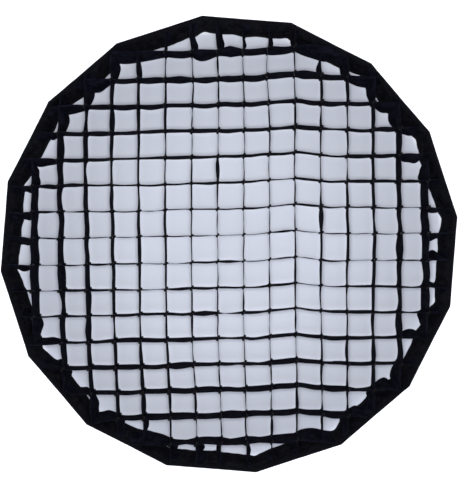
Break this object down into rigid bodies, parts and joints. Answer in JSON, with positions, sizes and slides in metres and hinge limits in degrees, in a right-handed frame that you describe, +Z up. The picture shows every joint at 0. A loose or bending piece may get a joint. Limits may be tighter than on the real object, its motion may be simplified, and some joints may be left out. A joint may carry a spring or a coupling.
{
  "type": "softbox egg-crate grid",
  "caption": "Fabric egg-crate grid with square cells in a tapering polygonal rim, fixed into a softbox's mouth to narrow its beam.",
  "frame": {"origin": "on the rim's axis, halfway between its front and back edges", "axes": "+Z up, +X to the right seen from the front, -Y towards the lit subject, +Y towards the lamp"},
  "size_m": [0.8938, 0.0466, 0.8938],
  "materials": {
    "strip_cloth": "matt black doubled polyester cloth with a faint sheen",
    "rim_cloth": "matt black woven nylon cloth",
    "edge_ribbon": "black ribbed grosgrain ribbon",
    "hook_tape": "black nylon hook tape with rows of fine hooks",
    "bar_tack_thread": "black polyester thread with a slight shine"
  },
  "bodies": {
    "root": {"upright_strip_01": "strip_cloth", "upright_strip_02": "strip_cloth", "upright_strip_03": "strip_cloth", "upright_strip_04": "strip_cloth", "upright_strip_05": "strip_cloth", "upright_strip_06": "strip_cloth", "upright_strip_07": "strip_cloth", "upright_strip_08": "strip_cloth", "upright_strip_09": "strip_cloth", "upright_strip_10": "strip_cloth", "upright_strip_11": "strip_cloth", "upright_strip_12": "strip_cloth", "upright_strip_13": "strip_cloth", "upright_strip_14": "strip_cloth", "upright_strip_15": "strip_cloth", "upright_strip_16": "strip_cloth", "level_strip_01": "strip_cloth", "level_strip_02": "strip_cloth", "level_strip_03": "strip_cloth", "level_strip_04": "strip_cloth", "level_strip_05": "strip_cloth", "level_strip_06": "strip_cloth", "level_strip_07": "strip_cloth", "level_strip_08": "strip_cloth", "level_strip_09": "strip_cloth", "level_strip_10": "strip_cloth", "level_strip_11": "strip_cloth", "level_strip_12": "strip_cloth", "level_strip_13": "strip_cloth", "level_strip_14": "strip_cloth", "level_strip_15": "strip_cloth", "level_strip_16": "strip_cloth", "rim_panel_01": "rim_cloth", "rim_panel_02": "rim_cloth", "rim_panel_03": "rim_cloth", "rim_panel_04": "rim_cloth", "rim_panel_05": "rim_cloth", "rim_panel_06": "rim_cloth", "rim_panel_07": "rim_cloth", "rim_panel_08": "rim_cloth", "rim_panel_09": "rim_cloth", "rim_panel_10": "rim_cloth", "rim_panel_11": "rim_cloth", "rim_panel_12": "rim_cloth", "rim_panel_13": "rim_cloth", "rim_panel_14": "rim_cloth", "rim_panel_15": "rim_cloth", "rim_panel_16": "rim_cloth", "front_edge_ribbon": "edge_ribbon", "back_edge_ribbon": "edge_ribbon", "hook_tape_lengths": "hook_tape", "crossing_bar_tacks": "bar_tack_thread"}
  },
  "joints": []
}
